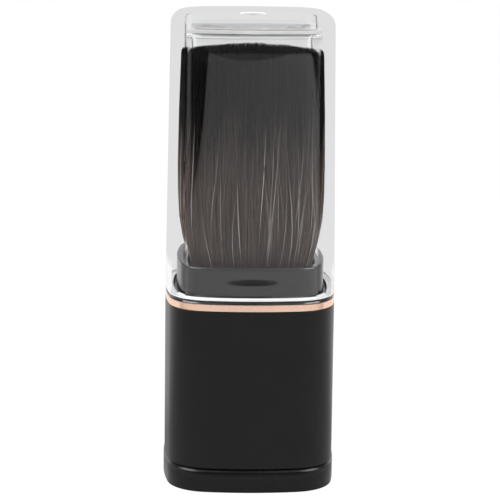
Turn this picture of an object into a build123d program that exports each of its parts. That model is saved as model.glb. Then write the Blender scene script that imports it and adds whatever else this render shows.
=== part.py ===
"""Retractable make-up brush, square with bowed sides, under a clear lift-off cap.

The brush stands on the carriage: base cover, weight, slider tube, seat, ferrule and tuft.
The case slides up the carriage and takes the tuft in: sleeve, liner, lower guide, collar and ring.
The cap stands on the case and lifts off upwards.
Z is up, the origin is the middle of the underside, and the front faces -Y. Sizes in millimetres.
"""
from build123d import *
import math
import os

# Master outline of the case, seen from above
case_width = 32.0
face_radius = 57.0
corner_radius = 8.0

# Base cover
base_height = 4.5
base_overhang = 0.15
base_floor = 1.2
base_wall = 1.4
base_bevel = 0.6
base_foot_bevel = 0.35

# Weight in the base
weight_height = 5.5

# Outer sleeve
sleeve_height = 30.0
sleeve_wall = 1.3

# Trim ring
ring_height = 1.3
ring_bevel = 0.3

# Inner liner and lower guide
liner_wall = 1.35
guide_height = 2.0

# Collar
collar_wall = 1.0
collar_rise = 5.95
collar_skirt = 2.5
collar_bevel = 0.3
flange_height = 0.65
flange_setback = 0.3

# Clear cap
cap_height = 51.45
cap_draft = 0.72
cap_wall_foot = 1.9
cap_wall_head = 1.75
cap_top_wall = 2.1
cap_top_round = 1.8
cap_ceiling_round = 1.2
round_steps = 3
cap_lead_in = 0.7
cap_collar_gap = 0.8
gate_diameter = 4.6
gate_depth = 0.25
gate_nub_diameter = 0.9
gate_nub_height = 0.12

# Grip nubs on the collar, which hold the cap
nub_width = 9.8
nub_height = 2.6
nub_rise = 2.5
nub_reach = 0.7

# Slider tube, its stop lugs and its friction pads
slide_travel = 24.0
slider_wall = 1.4
lug_width = 6.0
lug_height = 1.6
lug_setback = 0.2
lug_gap = 0.2
plinth_drop = 0.1
shoulder_height = 16.0
shoulder_width = 0.8
pad_width = 11.0
pad_height = 3.0
pad_depth = 0.7
pad_drop = 3.0
pad_gap = 0.06

# Brush seat and ferrule
seat_floor = 1.5
seat_wall = 0.72
seat_height = 12.0
ferrule_wall = 0.4
ferrule_height = 16.0
bead_height = 0.6
bead_width = 0.3
glue_depth = 4.0

# Tuft of hair, in four quarters
tuft_height = 47.5
tuft_cap_gap = 0.25
tuft_bulge_height = 24.0
tuft_top_inset = 3.1
tuft_dome = 1.8
strand_rows = 8
quarter_share = 0.96
strand_body = 0.42
strand_sink = 0.4
tip_wander = 0.5

# Clearances
glue_gap = 0.05
seat_gap = 0.05
running_gap = 0.08
cut_over = 1.0

# Insets from the master outline, outermost piece first
liner_outer = sleeve_wall + glue_gap
liner_inner = liner_outer + liner_wall
slider_outer = liner_inner + running_gap
slider_inner = slider_outer + slider_wall
collar_outer = cap_wall_foot + cap_collar_gap
collar_inner = collar_outer + collar_wall
seat_outer = slider_inner + glue_gap
seat_inner = seat_outer + seat_wall
ferrule_outer = seat_inner + glue_gap
ferrule_inner = ferrule_outer + ferrule_wall
root_outer = ferrule_inner + glue_gap

# Heights above the underside
sleeve_foot = base_height + seat_gap
sleeve_head = sleeve_foot + sleeve_height
ring_head = sleeve_head + ring_height
flange_head = ring_head + flange_height
collar_head = flange_head + collar_rise
skirt_foot = ring_head - collar_skirt
guide_head = sleeve_foot + guide_height
cap_foot = flange_head + seat_gap
cap_head = cap_foot + cap_height
cap_ceiling = cap_head - cap_top_wall
lug_foot = guide_head + slide_travel + seat_gap
lug_head = lug_foot + lug_height
slot_head = lug_head + lug_gap
slider_head = skirt_foot - plinth_drop
seat_foot = base_floor + shoulder_height
ferrule_foot = seat_foot + seat_floor + glue_gap
ferrule_head = ferrule_foot + ferrule_height
glue_foot = ferrule_foot + ferrule_wall
glue_head = glue_foot + glue_depth
root_foot = glue_head + glue_gap
nub_level = flange_head + nub_rise


def corner_centre(inset):
    """Distance of the corner arcs' centres from both middle planes."""
    side = case_width / 2 - face_radius
    reach = face_radius - corner_radius
    return (side + math.sqrt(2 * reach**2 - side**2)) / 2


def section(inset, height=0.0):
    """Outline parallel to the case's, this far inside it, as a flat face at a height."""
    half = case_width / 2 - inset
    bow = face_radius - inset
    offset = bow - half
    corner = (math.sqrt(2 * bow**2 - offset**2) - offset) / 2
    corners = [(corner, -corner), (corner, corner), (-corner, corner), (-corner, -corner)]
    middles = [(half, 0), (0, half), (-half, 0), (0, -half)]
    sides = Curve()
    for index, middle in enumerate(middles):
        sides += ThreePointArc(corners[index], middle, corners[(index + 1) % len(corners)])
    sharp = make_face(sides)
    return Pos(0, 0, height) * fillet(sharp.vertices(), corner_radius - inset)


def block(inset, low, high):
    """Solid block of the outline from one height to another."""
    return extrude(section(inset, low), high - low)


def tube(outer, inner, low, high):
    """Tube between two parallel outlines."""
    return extrude(section(outer, low) - section(inner, low), high - low)


def edges_at(shape, height):
    """Edges that lie flat at a height."""
    return shape.edges().filter_by_position(Axis.Z, height, height)


def base_cover():
    cover = block(-base_overhang, 0, base_height)
    cover = chamfer(edges_at(cover, base_height), base_bevel)
    cover = chamfer(edges_at(cover, 0), base_foot_bevel)
    return cover - block(base_wall, base_floor, base_height + cut_over)


def base_weight():
    low = base_floor + glue_gap
    return block(slider_inner + shoulder_width + glue_gap, low, low + weight_height)


def outer_sleeve():
    return tube(0, sleeve_wall, sleeve_foot, sleeve_head)


def trim_ring():
    ring = block(0, sleeve_head, ring_head)
    rims = edges_at(ring, sleeve_head) + edges_at(ring, ring_head)
    ring = chamfer(rims, ring_bevel)
    return ring - block(sleeve_wall, sleeve_head - cut_over, ring_head + cut_over)


def inner_liner():
    liner = tube(liner_outer, liner_inner, guide_head, skirt_foot)
    slot = Box(case_width, lug_width + 2 * lug_gap, slot_head - guide_head)
    return liner - Pos(0, 0, (guide_head + slot_head) / 2) * slot


def lower_guide():
    return tube(liner_outer, liner_inner, sleeve_foot, guide_head)


def grip_nub():
    """Low lens-shaped nub on the collar's front: the rim of a wheel that lies flat in the wall."""
    half_width = nub_width / 2
    half_height = nub_height / 2
    bow = face_radius - collar_outer
    rise = nub_reach + bow - math.sqrt(bow**2 - half_width**2)
    radius = (half_width**2 + rise**2) / (2 * rise)
    hub = radius - nub_reach - collar_wall / 2
    outline = Polyline((hub, -half_height), (radius - nub_reach, -half_height), (radius, 0),
                       (radius - nub_reach, half_height), (hub, half_height), close=True)
    rim = collar_outer - case_width / 2 - nub_reach
    wheel = Pos(0, rim + radius, nub_level) * revolve(make_face(Plane.XZ * outline), Axis.Z)
    slab = Box(case_width, case_width / 2, 2 * nub_height,
               align=(Align.CENTER, Align.MAX, Align.CENTER))
    return wheel & Pos(0, collar_outer + collar_wall / 2 - case_width / 2, nub_level) * slab


def collar():
    body = block(liner_outer, skirt_foot, ring_head)
    body += block(flange_setback, ring_head, flange_head)
    body += block(collar_outer, flange_head, collar_head)
    body = chamfer(edges_at(body, collar_head), collar_bevel)
    body -= block(collar_inner, skirt_foot - cut_over, collar_head + cut_over)
    return body + grip_nub() + Rot(0, 0, 180) * grip_nub()


def cap_inset(height):
    """How far the cap's drafted outside has drawn in at a height."""
    return cap_draft * (height - cap_foot) / cap_height


def cap_wall(height):
    """Thickness of the cap's wall at a height."""
    return cap_wall_foot + (cap_wall_head - cap_wall_foot) * (height - cap_foot) / cap_height


def drafted_block(foot_inset, foot, head_inset, head):
    """Solid block of the outline that draws in evenly from one height to another."""
    slope = math.degrees(math.atan2(head_inset - foot_inset, head - foot))
    walls = block(foot_inset, foot, head).faces().filter_by(GeomType.CYLINDER)
    return draft(walls, Plane.XY.offset(foot), slope)


def domed_block(foot_inset, foot, head_inset, head, round_radius):
    """Drafted block whose upper edge is rounded in a few flat steps."""
    shoulder = head - round_radius
    rings = []
    for step in range(round_steps + 1):
        turn = math.pi / 2 * step / round_steps
        inset = head_inset + round_radius * (1 - math.cos(turn))
        rings.append(section(inset, shoulder + round_radius * math.sin(turn)))
    return drafted_block(foot_inset, foot, head_inset, shoulder) + loft(rings, ruled=True)


def clear_cap():
    shell = domed_block(0, cap_foot, cap_draft, cap_head, cap_top_round)
    ceiling_inset = cap_inset(cap_ceiling) + cap_wall(cap_ceiling)
    cap = shell - domed_block(cap_wall_foot, cap_foot, ceiling_inset, cap_ceiling,
                              cap_ceiling_round)
    mouth = section(cap_wall_foot - cap_lead_in, cap_foot)
    cap -= loft([mouth, section(cap_wall_foot + cap_lead_in, cap_foot + 2 * cap_lead_in)], ruled=True)
    gate_floor = cap_head - gate_depth
    standing = (Align.CENTER, Align.CENTER, Align.MIN)
    dish = Cone(gate_nub_diameter / 2, gate_diameter / 2, gate_depth, align=standing)
    nub = Cylinder(gate_nub_diameter / 2, 2 * gate_nub_height, align=standing)
    cap -= Pos(0, 0, gate_floor) * dish
    return cap + Pos(0, 0, gate_floor - gate_nub_height) * nub


def side_bar(outer, width, low, high):
    """Bar across the slider at one height, trimmed to an outline, for lugs and pockets."""
    bar = Pos(0, 0, (low + high) / 2) * Box(case_width, width, high - low)
    return bar & block(outer, low, high)


def pad_levels():
    high = lug_foot - pad_drop
    return high - pad_height, high


def slider_tube():
    low = base_floor
    body = block(slider_outer, low, slider_head)
    body += block(base_wall + glue_gap, low, base_height - plinth_drop)
    lugs = side_bar(liner_outer + lug_setback, lug_width, lug_foot, lug_head)
    body += lugs
    body -= block(slider_inner, seat_foot, slider_head + cut_over)
    body -= block(slider_inner + shoulder_width, low - cut_over, seat_foot + cut_over)
    pad_low, pad_high = pad_levels()
    pocket = Box(pad_width + 2 * glue_gap, case_width, pad_height + 2 * glue_gap)
    ring = tube(0, slider_outer + pad_depth, pad_low - glue_gap, pad_high + glue_gap)
    return body - (ring & Pos(0, 0, (pad_low + pad_high) / 2) * pocket)


def friction_pads():
    pad_low, pad_high = pad_levels()
    ring = tube(liner_inner + pad_gap, slider_outer + pad_depth - glue_gap, pad_low, pad_high)
    bar = Pos(0, 0, (pad_low + pad_high) / 2) * Box(pad_width, case_width, pad_height)
    return ring & bar


def brush_seat():
    seat = block(seat_outer, seat_foot, seat_foot + seat_height)
    return seat - block(seat_inner, seat_foot + seat_floor, seat_foot + seat_height + cut_over)


def ferrule():
    shell = block(ferrule_outer, ferrule_foot, ferrule_head)
    shell += block(ferrule_outer - bead_width, ferrule_head - bead_height, ferrule_head)
    return shell - block(ferrule_inner, ferrule_foot + ferrule_wall, ferrule_head + cut_over)


def glue_bed():
    return block(ferrule_inner + glue_gap, glue_foot, glue_head)


def outline_reach(inset, angle):
    """Distance from the middle to the parallel outline, at an angle within 45 degrees of a side."""
    half = case_width / 2 - inset
    bow = face_radius - inset
    side = half - bow
    centre = corner_centre(inset)
    turn = math.atan2(centre, centre - side)
    tangent_x = side + bow * math.cos(turn)
    tangent_y = bow * math.sin(turn)
    if math.tan(angle) * tangent_x < tangent_y:
        return side * math.cos(angle) + math.sqrt(bow**2 - (side * math.sin(angle)) ** 2)
    along = centre * (math.cos(angle) + math.sin(angle))
    corner = corner_radius - inset
    return along + math.sqrt(along**2 - 2 * centre**2 + corner**2)


def strand_point(inset, depth_share, side_share, height):
    """Place of a strand in its quarter, which faces +X, at one height."""
    angle = math.atan(abs(side_share))
    reach = depth_share * outline_reach(inset, angle)
    return Vector(reach * math.cos(angle), math.copysign(reach * math.sin(angle), side_share), height)


def strand(root, bulge, tip):
    """Three-sided strand from its root over its bulge to a pointed tip, with flat faces."""
    corners = [Vector(strand_body, 0, 0).rotate(Axis.Z, turn) for turn in (0, 120, 240)]
    low = [root + corner for corner in corners]
    high = [bulge + corner for corner in corners]
    faces = [Face(Wire.make_polygon(low))]
    for index in range(len(corners)):
        after = (index + 1) % len(corners)
        faces.append(Face(Wire.make_polygon([low[index], low[after], high[after], high[index]])))
        faces.append(Face(Wire.make_polygon([high[index], high[after], tip])))
    return Solid(Shell(faces))


def tuft_quarter(turn):
    """Quarter of the tuft: the bound root in the ferrule and the strands that flare out of it."""
    wedge = Polyline((0, 0), (case_width, -case_width), (case_width, case_width), close=True)
    quarter = extrude(Pos(0, 0, root_foot) * make_face(wedge), ferrule_head - root_foot)
    root = block(root_outer, root_foot, ferrule_head) & quarter
    bulge_level = ferrule_head + tuft_bulge_height
    bulge_inset = cap_inset(bulge_level) + cap_wall(bulge_level) + tuft_cap_gap
    strands = []
    for row in range(strand_rows):
        depth = (row + 2) / (strand_rows + 1)
        count = 2 * row + 3
        for place in range(count):
            side = quarter_share * (2 * (place + 1 / 2) / count - 1)
            wander = tip_wander * math.sin(row * row + 2 * place)
            tip = ferrule_head + tuft_height - tuft_dome * depth**2 * (1 + side**2) / 2 + wander
            strands.append(strand(
                strand_point(root_outer + strand_body, depth, side, ferrule_head - strand_sink),
                strand_point(bulge_inset + strand_body, depth, side, bulge_level),
                strand_point(tuft_top_inset, depth, side, tip)))
    return Rot(0, 0, turn) * root.fuse(*strands)


nodes = {
    "base_cover": base_cover,
    "base_weight": base_weight,
    "slider_tube": slider_tube,
    "friction_pads": friction_pads,
    "brush_seat": brush_seat,
    "ferrule": ferrule,
    "glue_bed": glue_bed,
    "lower_guide": lower_guide,
    "inner_liner": inner_liner,
    "outer_sleeve": outer_sleeve,
    "trim_ring": trim_ring,
    "collar": collar,
    "clear_cap": clear_cap,
}

tuft_turns = {"tuft_right": 0, "tuft_back": 90, "tuft_left": 180, "tuft_front": 270}

os.makedirs("parts", exist_ok=True)
for name, make in nodes.items():
    export_step(make(), f"parts/{name}.step")
for name, turn in tuft_turns.items():
    export_step(tuft_quarter(turn), f"parts/{name}.step")
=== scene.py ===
"""Looks of a square retractable make-up brush in its clear cap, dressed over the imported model.

Lengths are in metres, and MM turns the sizes that follow into metres. Z is up and the front faces -Y.
"""
import math

import bmesh
import bpy
import numpy as np
from mathutils import Matrix, Vector


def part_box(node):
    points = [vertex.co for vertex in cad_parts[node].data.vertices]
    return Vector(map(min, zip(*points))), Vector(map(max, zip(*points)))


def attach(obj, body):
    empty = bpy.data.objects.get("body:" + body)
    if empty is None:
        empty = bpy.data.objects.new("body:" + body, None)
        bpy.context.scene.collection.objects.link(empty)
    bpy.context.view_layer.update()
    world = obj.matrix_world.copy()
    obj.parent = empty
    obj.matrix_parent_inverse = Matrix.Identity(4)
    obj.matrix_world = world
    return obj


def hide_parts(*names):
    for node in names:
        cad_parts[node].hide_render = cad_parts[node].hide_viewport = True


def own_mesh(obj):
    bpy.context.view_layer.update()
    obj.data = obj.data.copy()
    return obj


MM = 0.001

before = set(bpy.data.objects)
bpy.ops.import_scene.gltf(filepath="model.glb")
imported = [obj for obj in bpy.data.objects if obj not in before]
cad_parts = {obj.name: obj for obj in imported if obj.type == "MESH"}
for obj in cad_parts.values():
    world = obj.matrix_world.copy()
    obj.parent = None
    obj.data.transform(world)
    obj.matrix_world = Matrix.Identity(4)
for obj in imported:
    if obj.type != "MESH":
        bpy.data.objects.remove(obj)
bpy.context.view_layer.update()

# Outline of the case from above: bowed sides and round corners
CASE_HALF = 16.0 * MM
SIDE_RADIUS = 57.0 * MM
CORNER_RADIUS = 8.0 * MM
QUARTER = math.pi / 2
AROUND = 256

# Photograph's viewpoint
CAMERA_PLACE = Vector((-19.13, -462.65, 134.76)) * MM
CAMERA_PITCH = 0.1954
CAMERA_PAN = -0.0413
CAMERA_ROLL = 0.0125
CAMERA_LENS = 179.3
SENSOR_WIDTH = 36.0


def corner_centre():
    """Distance of the corner arcs' centres from both middle planes."""
    side = CASE_HALF - SIDE_RADIUS
    reach = SIDE_RADIUS - CORNER_RADIUS
    return (side + math.sqrt(2 * reach**2 - side**2)) / 2


CORNER_CENTRE = corner_centre()


def reach_at(inset, angle):
    """Distance from the axis to the outline this far inside the case's, at angles in an array."""
    fold = np.abs((np.asarray(angle) + QUARTER / 2) % QUARTER - QUARTER / 2)
    half = CASE_HALF - inset
    bow = SIDE_RADIUS - inset
    side = half - bow
    turn = math.atan2(CORNER_CENTRE, CORNER_CENTRE - side)
    start = np.arctan2(bow * math.sin(turn), side + bow * math.cos(turn))
    on_side = side * np.cos(fold) + np.sqrt(bow**2 - (side * np.sin(fold)) ** 2)
    along = CORNER_CENTRE * (np.cos(fold) + np.sin(fold))
    corner = CORNER_RADIUS - inset
    on_corner = along + np.sqrt(np.maximum(along**2 - 2 * CORNER_CENTRE**2 + corner**2, 0))
    return np.where(fold < start, on_side, on_corner)


def span(node):
    """Lowest and highest level of a CAD node."""
    low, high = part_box(node)
    return low.z, high.z


BASE_FOOT, BASE_HEAD = span("base_cover")
SLEEVE_FOOT, SLEEVE_HEAD = span("outer_sleeve")
RING_FOOT, RING_HEAD = span("trim_ring")
COLLAR_FOOT, COLLAR_HEAD = span("collar")
CAP_FOOT, CAP_HEAD = span("clear_cap")
SLIDER_FOOT, SLIDER_HEAD = span("slider_tube")
TUFT_HEAD = span("tuft_front")[1]

# Insets of the pieces from the case's outline
BASE_INSET = -0.15 * MM
SLEEVE_WALL = 1.3 * MM
SKIRT_INSET = 1.35 * MM
FLANGE_INSET = 0.15 * MM
FLANGE_SLOPE = 0.35 * MM
COLLAR_INSET = 2.15 * MM
COLLAR_BORE = 3.7 * MM
SLIDER_INSET = 2.78 * MM
SLIDER_BORE = 4.18 * MM
CAP_DRAFT = 0.72 * MM
CAP_WALL_FOOT = 1.9 * MM
CAP_WALL_HEAD = 1.75 * MM
CAP_TOP_WALL = 2.1 * MM
CAP_TOP_ROUND = 1.8 * MM
CAP_CEILING_ROUND = 1.2 * MM
CAP_LEAD_IN = 0.7 * MM
# Band of painted glow at the foot of the lead-in: its height, and how far to the front and back it
# starts
CAP_GLOW_HEIGHT = 0.4 * MM
CAP_GLOW_REACH = 9.5 * MM
FLANGE_HEIGHT = 0.65 * MM

# Grip nubs on the collar, and where they touch the cap
NUB_LEVEL = RING_HEAD + FLANGE_HEIGHT + 2.5 * MM
NUB_HALF_WIDTH = 5.1 * MM
NUB_HALF_HEIGHT = 1.3 * MM
NUB_REACH = 0.17 * MM
CONTACT_LEVEL = NUB_LEVEL + 0.83 * MM
CONTACT_HALF_WIDTH = 5.1 * MM
CONTACT_HALF_HEIGHT = 0.7 * MM

# Gate mark on the cap
GATE_RADIUS = 2.3 * MM
GATE_DEPTH = 0.25 * MM
GATE_NUB_RADIUS = 0.45 * MM
GATE_NUB_HEIGHT = 0.12 * MM

# Levels and reaches at which the cap's clear plastic changes its look
CAP_BRIM_REACH = 13.6 * MM
CAP_BRIM_SPAN = 12.2 * MM
CAP_BRIM_LEVEL = CAP_HEAD - 0.4 * MM
CAP_COVE_BACK = 8 * MM
CAP_COVE_SPAN = 11 * MM
CAP_RIPPLE_LEVEL = CAP_HEAD - 5.5 * MM
CAP_CALM_LEVEL = CAP_HEAD - 4.4 * MM
CAP_CALM_HALF_HEIGHT = 1.6 * MM
CAP_HOOK_LEVEL = CAP_HEAD - 8.4 * MM
CAP_GUIDE_LEVEL = COLLAR_HEAD + 1 * MM
SLACK = 0.01 * MM


class Number:
    """A socket that carries a number or colour, on which a material's sums are written."""

    def __init__(self, look, socket):
        self.look = look
        self.socket = socket

    def maths(self, operation, *values):
        return self.look.node("ShaderNodeMath", {"operation": operation}, *values)

    def __add__(self, other):
        return self.maths("ADD", self, other)

    def __sub__(self, other):
        return self.maths("SUBTRACT", self, other)

    def __mul__(self, other):
        return self.maths("MULTIPLY", self, other)

    def __truediv__(self, other):
        return self.maths("DIVIDE", self, other)

    def __rsub__(self, other):
        return self.maths("SUBTRACT", other, self)

    def __abs__(self):
        return self.maths("ABSOLUTE", self)

    def __gt__(self, other):
        return self.maths("GREATER_THAN", self, other)

    __radd__ = __add__
    __rmul__ = __mul__

    def clipped(self):
        return self.look.node("ShaderNodeClamp", {}, self)


class Look:
    """Node tree of a material or of the world, filled through one node-making method."""

    def __init__(self, name, world=False):
        self.owner = (bpy.data.worlds if world else bpy.data.materials).new(name)
        self.owner.use_nodes = True
        self.tree = self.owner.node_tree
        self.tree.nodes.clear()

    def node(self, kind, settings, *values, output=0, **named):
        """New node with its settings made first, then its sockets; the chosen output comes back."""
        node = self.tree.nodes.new(kind)
        for key, value in settings.items():
            setattr(node, key, value)
        for index, value in enumerate(values):
            self.feed(node.inputs[index], value)
        for key, value in named.items():
            self.feed(node.inputs[key.replace("_", " ")], value)
        return Number(self, node.outputs[output]) if node.outputs else node

    def feed(self, socket, value):
        if isinstance(value, Number):
            self.tree.links.new(value.socket, socket)
        elif isinstance(value, tuple) and len(value) == 3 and socket.type == "RGBA":
            socket.default_value = (*value, 1.0)
        else:
            socket.default_value = value

    def place(self):
        """Object coordinates."""
        return self.node("ShaderNodeTexCoord", {}, output="Object")

    def along(self, axis):
        """Object coordinate along an axis."""
        return self.node("ShaderNodeSeparateXYZ", {}, self.place(), output=axis)

    def value(self, name):
        """Value of one of the piece's attributes."""
        return self.node("ShaderNodeAttribute", {"attribute_name": name}, output="Fac")

    def grain(self, scale, stretch=(1.0, 1.0, 1.0), detail=3.0, roughness=0.5):
        """Noise over the piece, with a number of grains to the metre and a stretch for each axis."""
        spread = self.node("ShaderNodeMapping", {}, Vector=self.place(), Scale=stretch)
        return self.node("ShaderNodeTexNoise", {}, Vector=spread, Scale=scale, Detail=detail,
                         Roughness=roughness, output="Fac")

    def mix(self, share, first, second):
        """Colour between two, by a share."""
        node = self.tree.nodes.new("ShaderNodeMix")
        node.data_type = "RGBA"
        self.feed(node.inputs["Factor"], share)
        self.feed(node.inputs[6], first)
        self.feed(node.inputs[7], second)
        return Number(self, node.outputs[2])

    def blend(self, share, first, second):
        """Shader between two, by a share."""
        return self.node("ShaderNodeMixShader", {}, share, first, second)

    def diffuse(self, colour):
        return self.node("ShaderNodeBsdfDiffuse", {}, Color=colour)

    def bump(self, height, distance):
        return self.node("ShaderNodeBump", {}, Height=height, Distance=distance, Strength=1.0)

    def surface(self, shader):
        output = "ShaderNodeOutputWorld" if isinstance(self.owner, bpy.types.World) else (
            "ShaderNodeOutputMaterial")
        self.node(output, {}, Surface=shader)
        return self.owner

    def principled(self, **named):
        return self.surface(self.node("ShaderNodeBsdfPrincipled", {}, **named))


HUMP_STEEPNESS = 3


def ramp(value, start, span):
    """Nought up to the start, rising to one over the span; a negative span turns it round."""
    return ((value - start) / span).clipped()


def hump(*offsets):
    """One near the middle, falling to nought where the squares of the offsets add up to one."""
    return ((1 - sum(offset * offset for offset in offsets)) * HUMP_STEEPNESS).clipped()


def nub_contact(look):
    """One over the lens where a grip nub touches the cap's wall."""
    across = look.along("X") / CONTACT_HALF_WIDTH
    up = (look.along("Z") - CONTACT_LEVEL) / CONTACT_HALF_HEIGHT
    return hump(across, up)


def soft_black():
    """Satin black sleeve with a fine moulded grain."""
    look = Look("soft_black")
    fine = look.grain(9000.0)
    broad = look.grain(140.0)
    return look.principled(Base_Color=look.mix(broad, (0.005, 0.005, 0.0053), (0.008, 0.008, 0.0084)),
                           Roughness=0.3 + 0.06 * broad + 0.04 * fine,
                           Normal=look.bump(fine, 0.004 * MM), Specular_IOR_Level=0.3)


def base_black():
    """Satin black base cover, a little smoother than the sleeve."""
    look = Look("base_black")
    fine = look.grain(7000.0)
    broad = look.grain(180.0)
    return look.principled(Base_Color=look.mix(broad, (0.004, 0.004, 0.0043), (0.007, 0.007, 0.0074)),
                           Roughness=0.22 + 0.08 * broad,
                           Normal=look.bump(fine, 0.003 * MM), Specular_IOR_Level=0.3)


def collar_black():
    """Moulded black plastic of the collar, polished, with faint handling marks and a lens of painted
    shade.
    """
    look = Look("collar_black")
    marks = look.grain(500.0, (1.0, 1.0, 3.0), 6.0)
    grey = look.mix(marks, (0.022, 0.022, 0.023), (0.028, 0.028, 0.03))
    # Painted shade: the lens where a grip nub touches the cap is darker, standing in for the cap's inner
    # reflection lost there
    return look.principled(Base_Color=look.mix(nub_contact(look), grey, (0.003, 0.003, 0.003)),
                           Roughness=0.1 + 0.1 * marks, Normal=look.bump(marks, 0.002 * MM),
                           Specular_IOR_Level=0.6)


def inner_black():
    """Moulded black of the inner tube and lower guide, with drag lines along the slide."""
    look = Look("inner_black")
    drag = look.grain(2500.0, (1.0, 1.0, 0.02), 4.0)
    return look.principled(Base_Color=look.mix(drag, (0.016, 0.016, 0.017), (0.026, 0.026, 0.027)),
                           Roughness=0.3 + 0.15 * drag, Normal=look.bump(drag, 0.004 * MM))


def inner_grey():
    """Natural grey moulding that stays inside the case."""
    look = Look("inner_grey")
    cloud = look.grain(300.0)
    return look.principled(Base_Color=look.mix(cloud, (0.20, 0.20, 0.21), (0.27, 0.27, 0.28)),
                           Roughness=0.4 + 0.1 * cloud, Normal=look.bump(cloud, 0.01 * MM))


def pad_rubber():
    look = Look("pad_rubber")
    pores = look.grain(4000.0)
    return look.principled(Base_Color=look.mix(pores, (0.03, 0.03, 0.03), (0.055, 0.055, 0.055)),
                           Roughness=0.7 + 0.15 * pores, Normal=look.bump(pores, 0.01 * MM))


RING_TILT = 0.14


def rose_metal():
    """Rose-gold plating, polished, with faint turning lines; its shading is tilted to the bright sky."""
    look = Look("rose_metal")
    lines = look.grain(1500.0, (1.0, 1.0, 12.0))
    return look.principled(Base_Color=look.mix(lines, (0.97, 0.64, 0.48), (1.0, 0.7, 0.55)),
                           Metallic=1.0, Roughness=0.12 + 0.08 * lines,
                           Normal=look.bump(lines * (0.002 * MM) - look.along("Z") * RING_TILT, 1.0))


def drawn_metal(name, dark, light, roughness):
    """Bare metal with draw lines up the piece."""
    look = Look(name)
    draw = look.grain(3000.0, (1.0, 1.0, 0.05))
    return look.principled(Base_Color=look.mix(draw, dark, light), Metallic=1.0,
                           Roughness=roughness + 0.15 * draw, Normal=look.bump(draw, 0.004 * MM))


def glue():
    look = Look("glue")
    cloud = look.grain(600.0)
    return look.principled(Base_Color=look.mix(cloud, (0.55, 0.42, 0.18), (0.7, 0.58, 0.32)),
                           Roughness=0.15 + 0.15 * cloud, Normal=look.bump(cloud, 0.02 * MM))


CLEAR_TINT = (0.985, 0.987, 0.99)
CLEAR_IOR = 1.49
EDGE_START = 0.2
EDGE_SPAN = 1 / 18
HOOK_SLANT = 0.3
HOOK_LAG = 0.05
ROUND_SHARE = 0.85
CALM_SHARE = 0.8
RIPPLE_STRENGTH = 4
# Strength of the brown line painted along the brim, where the top's round bends the light
PAINTED_LINE_STRENGTH = 3.6
GUIDE_START = 0.6
GUIDE_SPAN = 1 / 8


def clear_body(look, level):
    """Clear plastic with moulded waves; over the top of the hair it bends light and mirrors little."""
    flow = look.grain(60.0, (1.0, 1.0, 0.35), 2.0)
    ripple = look.grain(230.0, detail=1.0) * ramp(level, CAP_RIPPLE_LEVEL, 2 * MM)
    waves = look.bump(flow + ripple * RIPPLE_STRENGTH, 0.02 * MM)
    glass = look.node("ShaderNodeBsdfPrincipled", {}, Base_Color=CLEAR_TINT, Roughness=0.0,
                      IOR=CLEAR_IOR, Transmission_Weight=1.0, Normal=waves)
    still = look.node("ShaderNodeBsdfRefraction", {}, Color=CLEAR_TINT, Roughness=0.0,
                      IOR=CLEAR_IOR, Normal=waves)
    calm = hump((level - CAP_CALM_LEVEL) / CAP_CALM_HALF_HEIGHT) * CALM_SHARE
    return look.blend(calm, glass, still)


def clear_plastic():
    """Polished clear plastic of the cap, pale grey where it is seen edge on."""
    look = Look("clear_plastic")
    level = look.along("Z")
    back = look.along("Y")
    outside = look.value("outside")
    rounded = look.value("rounded")
    facing = look.node("ShaderNodeLayerWeight", {}, Blend=0.5, output="Facing")

    # Plain see-through plastic where the wall is seen edge on, is round or is touched by a nub
    edge = look.blend(outside, look.node("ShaderNodeBsdfTransparent", {}, Color=(1.0, 1.0, 1.0)),
                      look.node("ShaderNodeBsdfTransparent", {}, Color=(0.855, 0.855, 0.86)))
    hooked = ramp(level + back * HOOK_SLANT, CAP_HOOK_LEVEL, 1 * MM)
    edge_on = ramp(facing - hooked * HOOK_LAG, EDGE_START, EDGE_SPAN)
    contact = nub_contact(look) * (1 - outside)
    share = (edge_on + rounded * ROUND_SHARE + contact + ray_share(look, "Shadow")).clipped()
    clear = look.blend(share, clear_body(look, level), edge)

    # Brown line painted along the front brim, where the round of the top bends the light
    front = ramp(back, -CAP_BRIM_REACH, -0.5 * MM)
    painted_brim_line = rounded * (1 - rounded) * front * (CAP_BRIM_LEVEL - level > 0) * PAINTED_LINE_STRENGTH
    clear = look.blend(painted_brim_line, clear, look.diffuse((0.3, 0.24, 0.19)))

    # Pale grey painted on the sides at the foot, standing in for the light a thick wall guides there and
    # hiding what is behind it
    entered = look.node("ShaderNodeNewGeometry", {}, output="Backfacing")
    low = ramp(level, CAP_GUIDE_LEVEL, -2 * MM)
    guided = ramp(facing, GUIDE_START, GUIDE_SPAN) * low * outside * (1 - entered)
    clear = look.blend(guided, clear, look.diffuse((0.7, 0.7, 0.71)))
    # Pale white on the ring round the gate, and painted on the foot and the start of the lead-in as the
    # light the wall guides down
    return look.surface(look.blend(look.value("glow_and_gate_ring"), clear, look.diffuse((0.9, 0.9, 0.91))))


HAIR_BROWN_LEVEL = 58 * MM
HAIR_BLACK_SPAN = 12 * MM
HAIR_STREAKS = (2600.0, (1.0, 1.0, 0.012), 3.0, 0.6)


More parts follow.
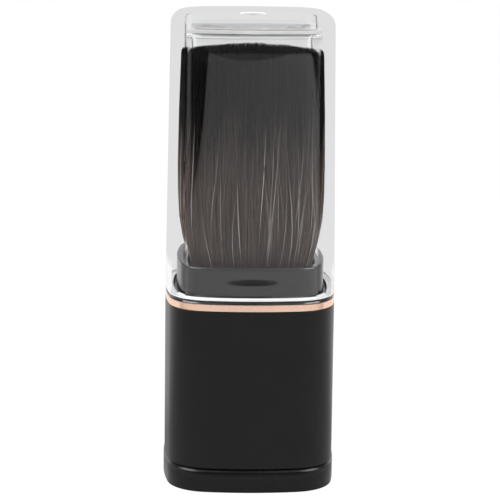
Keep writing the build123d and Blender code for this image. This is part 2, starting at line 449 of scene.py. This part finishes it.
def hair():
    """Two-tone hair: grey-brown below, black above, with single pale hairs."""
    look = Look("hair")
    streak = look.grain(*HAIR_STREAKS)
    patch = look.grain(260.0, (1.0, 1.0, 0.12), 2.0)
    tone = look.value("tone")
    drift = look.along("Z") + (tone - 0.5) * (12 * MM) + (patch - 0.5) * (10 * MM)
    darkening = ramp(drift, HAIR_BROWN_LEVEL, HAIR_BLACK_SPAN)
    brown = look.mix(streak * 0.6 + tone * 0.4, (0.04, 0.025, 0.02), (0.2, 0.148, 0.128))
    dyed = look.mix(darkening, brown, (0.0045, 0.0045, 0.005))
    colour = look.mix(look.value("pale"), dyed, (0.62, 0.57, 0.53))
    return look.principled(Base_Color=colour, Roughness=0.45, Specular_IOR_Level=0.15)


def hair_shade():
    """Dull dark of the strands' tips, and painted shade for the tuft's depth between them."""
    look = Look("hair_shade")
    streak = look.grain(*HAIR_STREAKS)
    return look.principled(Base_Color=look.mix(streak, (0.003, 0.003, 0.003), (0.012, 0.01, 0.009)),
                           Roughness=0.9 + 0.1 * streak, Specular_IOR_Level=0.0)


SMOOTH_ANGLE = math.radians(35)


def turned(name, stations, closed, material, dent=None):
    """Piece that follows the case's outline through stations of inset and level.

    A station may have a third value, the radius of a round ring that is used instead of the outline.
    A closed piece joins its last ring to its first; an open one is closed at its two ends.
    """
    bpy.ops.object.select_all(action="DESELECT")
    bpy.ops.mesh.primitive_circle_add(vertices=AROUND, radius=CASE_HALF)
    piece = bpy.context.object
    piece.name = name
    bpy.ops.object.mode_set(mode="EDIT")
    mesh = bmesh.from_edit_mesh(piece.data)
    shape_ring(mesh.verts, stations[0], dent)
    for station in stations[1:]:
        bpy.ops.mesh.extrude_edges_move()
        mesh = bmesh.from_edit_mesh(piece.data)
        shape_ring([vertex for vertex in mesh.verts if vertex.select], station, dent)
    if closed:
        bpy.ops.mesh.select_all(action="SELECT")
        bpy.ops.mesh.remove_doubles(threshold=0.0005 * MM)
    else:
        bpy.ops.mesh.merge(type="CENTER")
        mesh = bmesh.from_edit_mesh(piece.data)
        for edge in mesh.edges:
            edge.select = edge.is_boundary
        mesh.select_flush_mode()
        bmesh.update_edit_mesh(piece.data)
        bpy.ops.mesh.merge(type="CENTER")
    bpy.ops.mesh.select_all(action="SELECT")
    bpy.ops.mesh.normals_make_consistent(inside=False)
    bpy.ops.object.mode_set(mode="OBJECT")
    bpy.ops.object.shade_smooth_by_angle(angle=SMOOTH_ANGLE)
    piece.data.materials.append(material)
    return piece


def shape_ring(vertices, station, dent):
    """Put a ring's vertices on the outline at a station, each at its own angle."""
    inset, level = station[:2]
    vertices = list(vertices)
    angles = np.array([math.atan2(vertex.co.y, vertex.co.x) for vertex in vertices])
    reach = np.full(len(angles), station[2]) if len(station) > 2 else reach_at(inset, angles)
    for vertex, angle, distance in zip(vertices, angles, reach):
        vertex.co = (distance * math.cos(angle), distance * math.sin(angle), level)
        if dent and len(station) == 2:
            dent(vertex, inset)


def arc_stations(inset, level, radius, start, end, steps):
    """Stations on a quarter round whose centre is at an inset and level; angles from level."""
    stations = []
    for step in range(steps + 1):
        turn = math.radians(start + (end - start) * step / steps)
        stations.append((inset - radius * math.cos(turn), level + radius * math.sin(turn)))
    return stations


def levels_between(low, high, step):
    count = max(1, round((high - low) / step))
    return [low + (high - low) * index / count for index in range(count + 1)]


def sleeve_piece(material):
    edge = 0.12 * MM
    stations = [(SLEEVE_WALL, SLEEVE_FOOT), (edge, SLEEVE_FOOT), (0, SLEEVE_FOOT + edge)]
    levels = levels_between(SLEEVE_FOOT + 2 * edge, SLEEVE_HEAD - 2 * edge, 5 * MM)
    stations += [(0, level) for level in levels]
    stations += [(0, SLEEVE_HEAD - edge), (edge, SLEEVE_HEAD), (SLEEVE_WALL, SLEEVE_HEAD)]
    stations += [(SLEEVE_WALL, SLEEVE_FOOT)]
    return turned("sleeve", stations, True, material)


def ring_piece(material):
    bevel = 0.08 * MM
    stations = [(SLEEVE_WALL, RING_FOOT), (bevel, RING_FOOT), (0, RING_FOOT + bevel),
                (0, RING_HEAD - bevel), (bevel, RING_HEAD), (SLEEVE_WALL, RING_HEAD),
                (SLEEVE_WALL, RING_FOOT)]
    return turned("ring", stations, True, material)


def base_piece(material):
    bevel = 0.6 * MM
    foot = 0.35 * MM
    wall = 1.4 * MM
    floor = BASE_FOOT + 1.2 * MM
    outside = BASE_INSET
    stations = [(0, BASE_FOOT, 1 * MM), (4 * MM, BASE_FOOT)]
    stations += arc_stations(outside + foot, BASE_FOOT + foot, foot, -90, 0, 5)
    stations += [(outside, BASE_FOOT + 2 * MM)]
    stations += [(outside, BASE_HEAD - bevel), (outside + 0.06 * MM, BASE_HEAD - 0.85 * bevel),
                 (outside + 0.85 * bevel, BASE_HEAD - 0.06 * MM), (outside + bevel, BASE_HEAD)]
    stations += [(wall, BASE_HEAD), (wall, floor), (4 * MM, floor), (0, floor, 1 * MM)]
    return turned("base", stations, False, material)


def slider_piece(material):
    plinth = 1.45 * MM
    plinth_head = BASE_HEAD - 0.1 * MM
    edge = 0.2 * MM
    stations = [(SLIDER_BORE, SLIDER_FOOT), (plinth, SLIDER_FOOT), (plinth, plinth_head - edge),
                (plinth + edge, plinth_head), (SLIDER_INSET + edge, plinth_head)]
    stations += [(SLIDER_INSET, plinth_head + edge)]
    stations += [(SLIDER_INSET, level) for level in levels_between(10 * MM, 30 * MM, 5 * MM)]
    stations += [(SLIDER_INSET, SLIDER_HEAD - edge), (SLIDER_INSET + edge, SLIDER_HEAD),
                 (SLIDER_BORE, SLIDER_HEAD), (SLIDER_BORE, SLIDER_FOOT)]
    return turned("slider", stations, True, material)


def raise_nub(vertex, inset):
    """Lens-shaped grip nub on the collar's front and back."""
    across = (vertex.co.x / NUB_HALF_WIDTH) ** 2
    up = abs(vertex.co.z - NUB_LEVEL) / NUB_HALF_HEIGHT
    if inset == COLLAR_INSET and across + up < 1:
        vertex.co.y += math.copysign(NUB_REACH * (1 - across - up), vertex.co.y)


def collar_piece(material):
    flange_head = RING_HEAD + FLANGE_HEIGHT
    edge = 0.08 * MM
    rim = 0.4 * MM
    stations = [(COLLAR_BORE, COLLAR_FOOT), (SKIRT_INSET, COLLAR_FOOT), (SKIRT_INSET, RING_HEAD),
                (FLANGE_INSET + edge, RING_HEAD), (FLANGE_INSET, RING_HEAD + edge),
                (FLANGE_INSET + FLANGE_SLOPE, flange_head - edge),
                (FLANGE_INSET + FLANGE_SLOPE + edge, flange_head),
                (COLLAR_INSET - edge, flange_head)]
    levels = levels_between(NUB_LEVEL - NUB_HALF_HEIGHT, NUB_LEVEL + NUB_HALF_HEIGHT, 0.13 * MM)
    levels = [flange_head + edge] + levels + [COLLAR_HEAD - 1.5 * rim]
    stations += [(COLLAR_INSET, level) for level in levels]
    stations += arc_stations(COLLAR_INSET + rim, COLLAR_HEAD - rim, rim, 0, 90, 6)
    inner = 0.2 * MM
    stations += arc_stations(COLLAR_BORE - inner, COLLAR_HEAD - inner, inner, 90, 180, 4)
    stations += [(COLLAR_BORE, COLLAR_FOOT + 4 * MM), (COLLAR_BORE, COLLAR_FOOT)]
    return turned("shoulder", stations, True, material, dent=raise_nub)


def cap_outside(level):
    return CAP_DRAFT * (level - CAP_FOOT) / (CAP_HEAD - CAP_FOOT)


def cap_inside(level):
    share = (level - CAP_FOOT) / (CAP_HEAD - CAP_FOOT)
    return cap_outside(level) + CAP_WALL_FOOT + (CAP_WALL_HEAD - CAP_WALL_FOOT) * share


def gate_stations():
    """Stations from the middle of the cap's top over the gate's nub and dish."""
    nub_head = CAP_HEAD - GATE_DEPTH + GATE_NUB_HEIGHT
    stations = [(0, nub_head, 0.5 * GATE_NUB_RADIUS), (0, nub_head, 0.9 * GATE_NUB_RADIUS),
                (0, CAP_HEAD - GATE_DEPTH, 1.1 * GATE_NUB_RADIUS)]
    for step in range(1, 9):
        share = step / 8
        radius = GATE_NUB_RADIUS + (GATE_RADIUS - GATE_NUB_RADIUS) * share
        dish = GATE_DEPTH * (1 - (radius / GATE_RADIUS) ** 2)
        stations.append((0, CAP_HEAD - dish, radius))
    return stations + [(0, CAP_HEAD, GATE_RADIUS * 1.08), (0, CAP_HEAD, 5 * MM)]


def cap_piece(material):
    foot_edge = 0.15 * MM
    ceiling = CAP_HEAD - CAP_TOP_WALL
    stations = gate_stations() + [(8 * MM, CAP_HEAD), (5 * MM, CAP_HEAD), (3.5 * MM, CAP_HEAD)]
    stations += arc_stations(cap_outside(CAP_HEAD) + CAP_TOP_ROUND, CAP_HEAD - CAP_TOP_ROUND,
                             CAP_TOP_ROUND, 90, 0, 14)
    levels = levels_between(CAP_FOOT + 2 * foot_edge, CAP_HEAD - 1.6 * CAP_TOP_ROUND, 2 * MM)
    stations += [(cap_outside(level), level) for level in reversed(levels)]
    stations += [(0, CAP_FOOT + foot_edge), (foot_edge, CAP_FOOT)]
    mouth = CAP_WALL_FOOT - CAP_LEAD_IN
    stations += [(mouth + rise, CAP_FOOT + rise)
                 for rise in (0, CAP_GLOW_HEIGHT, CAP_GLOW_HEIGHT + 0.02 * MM, CAP_LEAD_IN)]
    levels = levels_between(CAP_FOOT + 1.1 * CAP_LEAD_IN, ceiling - 1.4 * CAP_CEILING_ROUND, 1 * MM)
    stations += [(cap_inside(level), level) for level in levels]
    stations += arc_stations(cap_inside(ceiling) + CAP_CEILING_ROUND, ceiling - CAP_CEILING_ROUND,
                             CAP_CEILING_ROUND, 0, 90, 10)
    stations += [(5 * MM, ceiling), (8 * MM, ceiling), (0, ceiling, 5 * MM), (0, ceiling, 1 * MM)]
    piece = turned("cap", stations, False, material)
    mark_cap(piece, ceiling)
    return piece


def mark_cap(piece, ceiling):
    """Tell the cap's material its outside, its pale faces of painted glow and gate ring, and its rounds
    from its other walls.
    """
    middle = Vector((0, 0, (CAP_FOOT + CAP_HEAD) / 2))
    glow_head = CAP_FOOT + CAP_GLOW_HEIGHT + SLACK
    shoulder = CAP_HEAD - 0.8 * CAP_TOP_ROUND
    edge = CASE_HALF - cap_outside(CAP_HEAD) - 0.97 * CAP_TOP_ROUND
    cove = ceiling - CAP_CEILING_ROUND

    def outside(place, normal):
        return normal.dot(place - middle) > 0

    def glow_and_gate_ring(place, normal):
        """Foot all round and start of the lead-in at front and back, painted with guided light, and the
        pale ring round the gate.
        """
        foot = place.z < CAP_FOOT + SLACK
        inward = normal.z < -0.3 or normal.xy.dot(place.xy) < 0
        lead_in = place.z < glow_head and abs(place.y) > CAP_GLOW_REACH and inward
        gate = place.z > ceiling + 1 * MM and 0.8 < place.xy.length / GATE_RADIUS < 1.02
        return foot or lead_in or gate

    def rounded(place, normal):
        """Round of the top, and the round under it in the middle of the back."""
        beyond = place.xy.length > edge or abs(place.x) > CAP_BRIM_SPAN
        top = place.z > shoulder and (place.z < CAP_HEAD - SLACK or beyond)
        back = place.z > cove and place.y > CAP_COVE_BACK and abs(place.x) < CAP_COVE_SPAN
        return top or back

    for chosen in (outside, glow_and_gate_ring, rounded):
        mark(piece, chosen.__name__, chosen)


def mark(piece, name, chosen):
    """Give a piece an attribute that is one at the vertices chosen by place and normal, else nought."""
    attribute = piece.data.attributes.new(name, "FLOAT", "POINT")
    for vertex, value in zip(piece.data.vertices, attribute.data):
        value.value = float(chosen(vertex.co, vertex.normal))


# Hair: levels and insets of the tuft's outline, from its root to its top
TUFT_LEVELS = np.array([33, 38, 40.2, 42, 43.8, 45.7, 48.3, 51.2, 55, 60, 66, 77, 81, 84]) * MM
TUFT_INSETS = np.array([6.2, 5.4, 4.9, 4.4, 3.9, 3.4, 2.85, 2.5, 2.36, 2.34, 2.42, 2.62, 2.8, 3.2]) * MM
STRANDS = 3900
RING_SHARES = np.array([0, 0.09, 0.17, 0.25, 0.33, 0.42, 0.54, 0.76, 1])
STRAND_RINGS = len(RING_SHARES)
STRAND_FACES = 3 * (STRAND_RINGS - 1) + 2
STRAND_RADIUS = 0.055 * MM
PALE_SHARE = 0.011
HAIR_SEED = 7
ROOT_LEVEL = 35.0 * MM
CORE_REACH = 0.9
CORE_TONE = 0.2
TIP_ROOM = 0.7 * MM
TIP_DOME = 1.6 * MM
TIP_SPREAD = 0.35 * MM

# How far inside the strands lie, how they lean, bend and sink, and how the pale ones differ
DEPTH_SPAN = 0.75
DEPTH_CROWDING = 1.7
LEAN = 0.035
BEND = 0.02
SINK = 0.012
PALE_LEAN = 3
PALE_BEND = 2
PALE_PROUD = 0.006


def tuft_inset(level):
    return np.interp(level, TUFT_LEVELS, TUFT_INSETS)


def tip_level(depth, side):
    """Level of the tuft's slightly domed top over a place in a quarter."""
    return TUFT_HEAD - TIP_ROOM - TIP_DOME * depth**2 * (1 + side**2) / 2


def strand_paths(random):
    """Places of every strand's rings in the quarter between +X and +Y, as an array."""
    pale = random.random(STRANDS) < PALE_SHARE
    depth = np.where(pale, 1.0, 1 - DEPTH_SPAN * random.random(STRANDS) ** DEPTH_CROWDING)
    side = random.uniform(-1, 1, STRANDS)
    lean = random.normal(0, LEAN, STRANDS) * np.where(pale, PALE_LEAN, 1)
    bend = random.normal(0, BEND, STRANDS) * np.where(pale, PALE_BEND, 1)
    sink = random.normal(0, SINK, STRANDS) * ~pale
    tip = tip_level(depth, side) - np.abs(random.normal(0, TIP_SPREAD, STRANDS))
    share = RING_SHARES[:, None]
    level = ROOT_LEVEL + (tip - ROOT_LEVEL) * share
    angle = np.arctan(side) + QUARTER * (side < 0)
    angle = angle[None, :] + lean * (share - 0.3) + bend * np.sin(2 * math.pi * share)
    inward = np.clip(depth + sink * np.sin(math.pi * share), 0.05, 1) + PALE_PROUD * pale
    reach = inward * reach_at_levels(tuft_inset(level), angle)
    return np.stack([reach * np.cos(angle), reach * np.sin(angle), level], axis=-1), pale


def reach_at_levels(inset, angle):
    """The outline's reach where every point has its own inset."""
    depth = 4.0 * MM
    base = reach_at(0.0, angle)
    deep = reach_at(depth, angle)
    return base + (deep - base) * inset / depth


def strand_corners(random, paths, pale):
    """Three corners round every ring of every strand, as one list of points."""
    thick = np.where(pale, random.uniform(1.1, 1.6, STRANDS), random.uniform(0.7, 1.15, STRANDS))
    taper = np.interp(RING_SHARES, [0, 0.55, 0.9, 1], [1, 1, 0.7, 0.25])
    radius = STRAND_RADIUS * taper[:, None] * thick
    spin = random.uniform(0, 2 * math.pi, STRANDS)
    corners = []
    for turn in range(3):
        angle = spin + turn * 2 * math.pi / 3
        offset = np.stack([np.cos(angle), np.sin(angle), np.zeros(STRANDS)], axis=-1)
        corners.append(paths + radius[..., None] * offset)
    return np.stack(corners, axis=2).transpose(1, 0, 2, 3).reshape(-1, 3)


def strand_faces():
    """Faces of every strand: its foot, its three sides and its tip."""
    faces = []
    size = 3 * STRAND_RINGS
    for start in range(0, STRANDS * size, size):
        top = start + size - 3
        faces.append((start + 2, start + 1, start))
        for low in range(start, top, 3):
            for index in range(3):
                after = (index + 1) % 3
                faces.append((low + index, low + after, low + 3 + after, low + 3 + index))
        faces.append((top, top + 1, top + 2))
    return faces


def strand_paleness(random, pale):
    """How pale each corner of every strand is; only a stretch of a pale hair shows."""
    rise = RING_SHARES[None, :, None] * np.ones((STRANDS, 1, 3))
    begin = random.uniform(0.05, 0.4, STRANDS)[:, None, None]
    finish = random.uniform(0.3, 0.75, STRANDS)[:, None, None]
    band = np.clip((rise - begin) / 0.1, 0, 1) * np.clip((finish - rise) / 0.15, 0, 1)
    return band * (pale * random.uniform(0.3, 1, STRANDS))[:, None, None]


def tuft_piece(name, facing, material, shade):
    """Quarter of the tuft: thousands of fine strands round a core of painted shade."""
    random = np.random.default_rng(HAIR_SEED + facing)
    paths, pale = strand_paths(random)
    points = strand_corners(random, paths, pale)
    faces = strand_faces()
    paleness = strand_paleness(random, pale)
    tones = np.ones_like(paleness) * random.random(STRANDS)[:, None, None]
    core_points, core_faces = tuft_core(len(points))
    points = np.concatenate([points, core_points])
    turn = np.array(Matrix.Rotation(facing * QUARTER, 3, "Z"))
    mesh = bpy.data.meshes.new(name)
    mesh.from_pydata((points @ turn.T).tolist(), [], faces + core_faces)
    for key, values, core_value in (("pale", paleness, 0), ("tone", tones, CORE_TONE)):
        values = np.concatenate([values.reshape(-1), np.full(len(core_points), core_value)])
        attribute = mesh.attributes.new(key, "FLOAT", "POINT")
        attribute.data.foreach_set("value", values.astype(np.float32))
    mesh.materials.append(material)
    mesh.materials.append(shade)
    number = np.arange(len(mesh.polygons))
    shaded = (number >= len(faces)) | (number % STRAND_FACES == STRAND_FACES - 1)
    mesh.polygons.foreach_set("material_index", shaded.astype(np.int32))
    mesh.update()
    piece = bpy.data.objects.new(name, mesh)
    bpy.context.scene.collection.objects.link(piece)
    return piece


def tuft_core(first):
    """Wedge of painted shade inside a quarter, as points and faces numbered from first."""
    levels = np.concatenate([[ROOT_LEVEL], TUFT_LEVELS[1:-1]])
    across = np.linspace(0, QUARTER, 25)
    fold = QUARTER / 2 - np.abs(across - QUARTER / 2)
    points = []
    for level in levels:
        reach = CORE_REACH * reach_at_levels(tuft_inset(level), across)
        top = np.minimum(level, tip_level(CORE_REACH, np.tan(fold)) - 1.0 * MM)
        points.append((0, 0, min(level, TUFT_HEAD - 1.5 * MM)))
        points += list(zip(reach * np.cos(across), reach * np.sin(across), top))
    row = len(across) + 1
    faces = []
    for layer in range(len(levels) - 1):
        low = first + layer * row
        for index in range(row):
            after = (index + 1) % row
            faces.append((low + index, low + after, low + row + after, low + row + index))
    last = first + (len(levels) - 1) * row
    faces.append(tuple(first + index for index in reversed(range(row))))
    faces.append(tuple(last + index for index in range(row)))
    return np.array(points), faces


def lamp(name, place, aim, size, power):
    """Soft rectangular lamp aimed at a point."""
    data = bpy.data.lights.new(name, "AREA")
    data.shape = "RECTANGLE"
    data.size, data.size_y = size
    data.energy = power
    light = bpy.data.objects.new(name, data)
    light.location = place
    light.rotation_euler = (Vector(aim) - Vector(place)).to_track_quat("-Z", "Y").to_euler()
    bpy.context.scene.collection.objects.link(light)


BACK_GLOW = 0.95
FRONT_GLOW = 0.02
FLOOR_GLOW = 1.04
FLOOR_GLOW_SHARE = 0.94
FADE_START = 0.55
FADE_SPAN = 1 / 0.9
LEFT_CARD_GLOW = 0.46
RIGHT_CARD_GLOW = 0.75
SKY_GLOW = 1.0
ROOM_GLOW = 0.45
WHITE = (1.0, 1.0, 1.0)

# Middle ways and spreads of the bright box, the bright horizon and the dark gap in the surroundings
BOX_ASIDE = 0.354
BOX_UP = 0.866
BOX_EDGE = 0.906
BOX_SPAN = 1 / 15
HORIZON_HEAD = 0.2
HORIZON_SPAN = 1 / 12
GAP_UP = 0.35
GAP_HALF = 0.35
GAP_SHARE = 0.85

# Corners of the floor and of the card in front, with the card's level, in millimetres
FLOOR_CORNERS = [(-1500, -1500), (1500, -1500), (1500, 1500), (-1500, 1500)]
CARD_CORNERS = [(-283, -895), (340, -900), (560, -760), (705, -540), (660, -260), (485, 30), (-345, 30)]
CARD_LEVEL = 0.3

# Each lamp's place and size in metres, and its power
LAMP_AIM = (0, 0, 50 * MM)
LAMPS = {"left_lamp": ((-0.42, -0.12, 0.42), (0.44, 0.3), 3.0),
         "right_lamp": ((0.42, -0.12, 0.42), (0.36, 0.3), 2.4)}


def ray_share(look, kind):
    """One where the ray is of this kind, else nought."""
    return look.node("ShaderNodeLightPath", {}, output=f"Is {kind} Ray")


def glowing(look, glow):
    """Even light, from a surface or, in the world, from afar."""
    world = isinstance(look.owner, bpy.types.World)
    kind = "ShaderNodeBackground" if world else "ShaderNodeEmission"
    return look.node(kind, {}, Color=WHITE, Strength=glow)


def shone(look, through_share, mirrored_share):
    """What refracted and reflected rays see: shares of the bright surroundings over the dark front."""
    through = ray_share(look, "Transmission")
    share = through * through_share.clipped() + (1 - through) * mirrored_share.clipped()
    return look.blend(share, glowing(look, FRONT_GLOW), glowing(look, BACK_GLOW))


def floor_look():
    """Pale floor, white to the camera; in the cap and in reflections pale behind and dark in front."""
    look = Look("floor")
    aside = abs(look.along("X"))
    back = look.along("Y")
    far = ramp(back, FADE_START, FADE_SPAN)
    through = (back * 6 + aside * 0.5 + 0.5).clipped() - far
    mirrored = back * 10 + 0.3
    seen = shone(look, through, mirrored)
    shader = look.blend(ray_share(look, "Camera") * FLOOR_GLOW_SHARE, look.diffuse((0.8, 0.8, 0.8)),
                        glowing(look, FLOOR_GLOW))
    return look.surface(look.blend(ray_share(look, "Glossy"), shader, seen))


def card_look():
    """White card that only refracted and reflected rays see."""
    look = Look("card")
    clear = look.node("ShaderNodeBsdfTransparent", {})
    white = look.blend((look.along("X") * 1.2 + 0.3).clipped(), glowing(look, LEFT_CARD_GLOW),
                       glowing(look, RIGHT_CARD_GLOW))
    return look.surface(look.blend(ray_share(look, "Glossy"), clear, white))


def world_look():
    """White surroundings; in the cap and in reflections white behind, beside and above."""
    look = Look("surroundings", world=True)
    way = look.node("ShaderNodeTexCoord", {}, output="Generated")
    aside = abs(look.node("ShaderNodeSeparateXYZ", {}, way, output="X"))
    back = look.node("ShaderNodeSeparateXYZ", {}, way, output="Y")
    up = look.node("ShaderNodeSeparateXYZ", {}, way, output="Z")
    box = ramp(aside * BOX_ASIDE - back * BOX_ASIDE + up * BOX_UP, BOX_EDGE, BOX_SPAN)
    horizon = ramp(up, HORIZON_HEAD, -HORIZON_SPAN)
    gap = (up - GAP_UP) / GAP_HALF
    gap = (1 - gap * gap).clipped()
    through = (back * 2 + up * 1.5 + 1.2).clipped() - gap * GAP_SHARE
    mirrored = back * 2.5 + up * 0.5 - 1.1 + box * 3 + horizon * 4.5
    seen = shone(look, through, mirrored)
    plain = look.blend(ray_share(look, "Camera"), glowing(look, ROOM_GLOW), glowing(look, SKY_GLOW))
    return look.surface(look.blend(ray_share(look, "Glossy"), plain, seen))


def stage_plane(name, corners, level, material):
    """Flat stage piece from its corners and level in millimetres."""
    bpy.ops.object.select_all(action="DESELECT")
    bpy.ops.mesh.primitive_circle_add(vertices=len(corners), fill_type="NGON")
    plane = bpy.context.object
    plane.name = name
    for vertex, corner in zip(plane.data.vertices, corners):
        vertex.co = Vector((*corner, level)) * MM
    plane.data.materials.append(material)


def set_stage():
    stage_plane("floor", FLOOR_CORNERS, 0, floor_look())
    stage_plane("front_card", CARD_CORNERS, CARD_LEVEL, card_look())
    bpy.context.scene.world = world_look()
    for name, (place, size, power) in LAMPS.items():
        lamp(name, place, LAMP_AIM, size, power)


def set_camera():
    data = bpy.data.cameras.new("camera")
    data.lens = CAMERA_LENS
    data.sensor_width = SENSOR_WIDTH
    data.clip_start = 0.01
    camera = bpy.data.objects.new("camera", data)
    turn = (Matrix.Rotation(CAMERA_PAN, 4, "Z") @ Matrix.Rotation(QUARTER - CAMERA_PITCH, 4, "X")
            @ Matrix.Rotation(CAMERA_ROLL, 4, "Z"))
    camera.matrix_world = Matrix.Translation(CAMERA_PLACE) @ turn
    bpy.context.scene.collection.objects.link(camera)
    bpy.context.scene.camera = camera


def dress(node, material):
    """Give a CAD node that stays its finish."""
    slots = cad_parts[node].data.materials
    slots.clear()
    slots.append(material)


def fit(piece, body, slot, *nodes):
    """Let a piece ride on its body and stand for its CAD nodes; the slot is not used."""
    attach(piece, body)
    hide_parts(*nodes)


def main():
    inner = inner_black()
    fit(base_piece(base_black()), "carriage", "base_black", "base_cover")
    fit(slider_piece(inner), "carriage", "inner_black", "slider_tube")
    fit(sleeve_piece(soft_black()), "case", "sleeve_black", "outer_sleeve")
    fit(ring_piece(rose_metal()), "case", "rose_metal", "trim_ring")
    fit(collar_piece(collar_black()), "case", "collar_black", "collar")
    fit(cap_piece(clear_plastic()), "cap", "clear_plastic", "clear_cap")
    strands = hair()
    shade = hair_shade()
    for facing, side in enumerate(("right", "back", "left", "front")):
        piece = tuft_piece(f"hair_{side}", facing, strands, shade)
        fit(piece, "carriage", "hair", f"tuft_{side}")
        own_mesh(piece)
    grey = inner_grey()
    dress("inner_liner", grey)
    dress("brush_seat", grey)
    dress("lower_guide", inner)
    dress("friction_pads", pad_rubber())
    dress("ferrule", drawn_metal("drawn_aluminium", (0.66, 0.66, 0.68), (0.78, 0.78, 0.8), 0.25))
    dress("base_weight", drawn_metal("plated_steel", (0.42, 0.43, 0.45), (0.52, 0.53, 0.55), 0.35))
    dress("glue_bed", glue())


main()
set_stage()
set_camera()
bpy.context.scene.view_settings.view_transform = "Standard"
